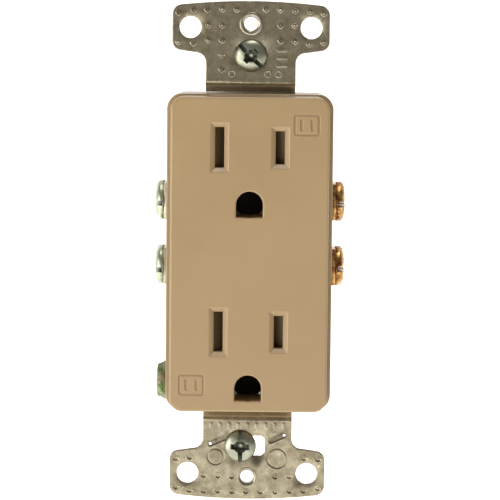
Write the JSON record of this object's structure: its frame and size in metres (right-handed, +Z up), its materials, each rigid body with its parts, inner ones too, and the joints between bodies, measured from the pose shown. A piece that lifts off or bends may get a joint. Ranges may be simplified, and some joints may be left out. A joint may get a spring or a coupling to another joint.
{
  "type": "duplex wall outlet",
  "caption": "Rectangular-face duplex wall outlet with shuttered blade slots, arched ground holes, steel mounting strap with ears, side terminal screws and a deep moulded back body.",
  "frame": {"origin": "centre of the strap's back plane, midway between the ear holes", "axes": "+X to the right of the face, +Y into the wall, +Z up along the strap"},
  "size_m": [0.0409, 0.0323, 0.1064],
  "materials": {
    "face_plastic": "satin",
    "body_plastic": "matte",
    "shutter_plastic": "matte",
    "galvanised_steel": "galvanised",
    "plated_steel": "zinc plated",
    "spring_steel": "drawn wire",
    "green_steel": "dyed green",
    "contact_brass": "stamped",
    "screw_brass": "plain",
    "spring_bronze": "stamped",
    "fibre": "fibre board"
  },
  "bodies": {
    "housing": {"front_cover": "face_plastic", "back_body": "body_plastic", "mounting_strap": "galvanised_steel", "neutral_bus": "contact_brass", "hot_bus": "contact_brass", "upper_ground_contact": "spring_bronze", "lower_ground_contact": "spring_bronze", "ground_contact_rivets": "plated_steel", "upper_shutter_frame": "shutter_plastic", "lower_shutter_frame": "shutter_plastic", "upper_hot_shutter_spring": "spring_steel", "upper_neutral_shutter_spring": "spring_steel", "lower_hot_shutter_spring": "spring_steel", "lower_neutral_shutter_spring": "spring_steel", "housing_screws": "plated_steel"},
    "upper_hot_shutter": {"upper_hot_shutter": "shutter_plastic"},
    "upper_neutral_shutter": {"upper_neutral_shutter": "shutter_plastic"},
    "lower_hot_shutter": {"lower_hot_shutter": "shutter_plastic"},
    "lower_neutral_shutter": {"lower_neutral_shutter": "shutter_plastic"},
    "upper_neutral_clamp": {"upper_neutral_clamp": "plated_steel"},
    "upper_neutral_screw": {"upper_neutral_screw": "plated_steel"},
    "lower_neutral_clamp": {"lower_neutral_clamp": "plated_steel"},
    "lower_neutral_screw": {"lower_neutral_screw": "plated_steel"},
    "upper_hot_clamp": {"upper_hot_clamp": "screw_brass"},
    "upper_hot_screw": {"upper_hot_screw": "screw_brass"},
    "lower_hot_clamp": {"lower_hot_clamp": "screw_brass"},
    "lower_hot_screw": {"lower_hot_screw": "screw_brass"},
    "ground_screw": {"ground_screw": "green_steel"},
    "upper_screw_washer": {"upper_screw_washer": "fibre"},
    "upper_mounting_screw": {"upper_mounting_screw": "plated_steel"},
    "lower_ground_clip": {"lower_ground_clip": "spring_bronze"},
    "lower_mounting_screw": {"lower_mounting_screw": "plated_steel"}
  },
  "joints": [
    {"name": "upper_hot_shutter_slide", "type": "slide", "parent": "housing", "child": "upper_hot_shutter", "axis": [1, 0, 0], "range_m": [0, 0.0026], "stiffness_N_per_m": 300, "springref_m": -0.002, "deforming": ["upper_hot_shutter_spring"]},
    {"name": "upper_neutral_shutter_slide", "type": "slide", "parent": "housing", "child": "upper_neutral_shutter", "axis": [-1, 0, 0], "range_m": [0, 0.0026], "stiffness_N_per_m": 300, "springref_m": -0.002, "deforming": ["upper_neutral_shutter_spring"]},
    {"name": "lower_hot_shutter_slide", "type": "slide", "parent": "housing", "child": "lower_hot_shutter", "axis": [1, 0, 0], "range_m": [0, 0.0026], "stiffness_N_per_m": 300, "springref_m": -0.002, "deforming": ["lower_hot_shutter_spring"]},
    {"name": "lower_neutral_shutter_slide", "type": "slide", "parent": "housing", "child": "lower_neutral_shutter", "axis": [-1, 0, 0], "range_m": [0, 0.0026], "stiffness_N_per_m": 300, "springref_m": -0.002, "deforming": ["lower_neutral_shutter_spring"]},
    {"name": "upper_neutral_clamp_slide", "type": "slide", "parent": "housing", "child": "upper_neutral_clamp", "axis": [-1, 0, 0], "range_m": [-0.0016, 0.0008]},
    {"name": "upper_neutral_screw_turn", "type": "hinge", "parent": "upper_neutral_clamp", "child": "upper_neutral_screw", "pos_m": [-0.0183, 0.0085, 0.01035], "axis": [-1, 0, 0], "range_deg": [-726, 363]},
    {"name": "lower_neutral_clamp_slide", "type": "slide", "parent": "housing", "child": "lower_neutral_clamp", "axis": [-1, 0, 0], "range_m": [-0.0016, 0.0008]},
    {"name": "lower_neutral_screw_turn", "type": "hinge", "parent": "lower_neutral_clamp", "child": "lower_neutral_screw", "pos_m": [-0.0183, 0.0085, -0.00365], "axis": [-1, 0, 0], "range_deg": [-726, 363]},
    {"name": "upper_hot_clamp_slide", "type": "slide", "parent": "housing", "child": "upper_hot_clamp", "axis": [1, 0, 0], "range_m": [-0.0019, 0.0005]},
    {"name": "upper_hot_screw_turn", "type": "hinge", "parent": "upper_hot_clamp", "child": "upper_hot_screw", "pos_m": [0.0186, 0.0085, 0.01035], "axis": [1, 0, 0], "range_deg": [-862, 227]},
    {"name": "lower_hot_clamp_slide", "type": "slide", "parent": "housing", "child": "lower_hot_clamp", "axis": [1, 0, 0], "range_m": [-0.0019, 0.0005]},
    {"name": "lower_hot_screw_turn", "type": "hinge", "parent": "lower_hot_clamp", "child": "lower_hot_screw", "pos_m": [0.0186, 0.0085, -0.00365], "axis": [1, 0, 0], "range_deg": [-862, 227]},
    {"name": "ground_screw_slide", "type": "slide", "parent": "housing", "child": "ground_screw", "axis": [-1, 0, 0], "range_m": [-0.003, 0.0008]},
    {"name": "upper_screw_washer_slide", "type": "slide", "parent": "housing", "child": "upper_screw_washer", "axis": [1, 0, 0], "range_m": [-0.0013, 0.0013]},
    {"name": "upper_mounting_screw_slide", "type": "slide", "parent": "upper_screw_washer", "child": "upper_mounting_screw", "axis": [0, -1, 0], "range_m": [0, 0.012]},
    {"name": "lower_ground_clip_slide", "type": "slide", "parent": "housing", "child": "lower_ground_clip", "axis": [1, 0, 0], "range_m": [-0.0004, 0.0034]},
    {"name": "lower_mounting_screw_slide", "type": "slide", "parent": "lower_ground_clip", "child": "lower_mounting_screw", "axis": [0, -1, 0], "range_m": [0, 0.012]}
  ],
  "couplings": [
    {"joint": "upper_neutral_screw_turn", "follows": "upper_neutral_clamp_slide", "rad_per_m": 7915.8},
    {"joint": "lower_neutral_screw_turn", "follows": "lower_neutral_clamp_slide", "rad_per_m": 7915.8},
    {"joint": "upper_hot_screw_turn", "follows": "upper_hot_clamp_slide", "rad_per_m": 7915.8},
    {"joint": "lower_hot_screw_turn", "follows": "lower_hot_clamp_slide", "rad_per_m": 7915.8}
  ]
}
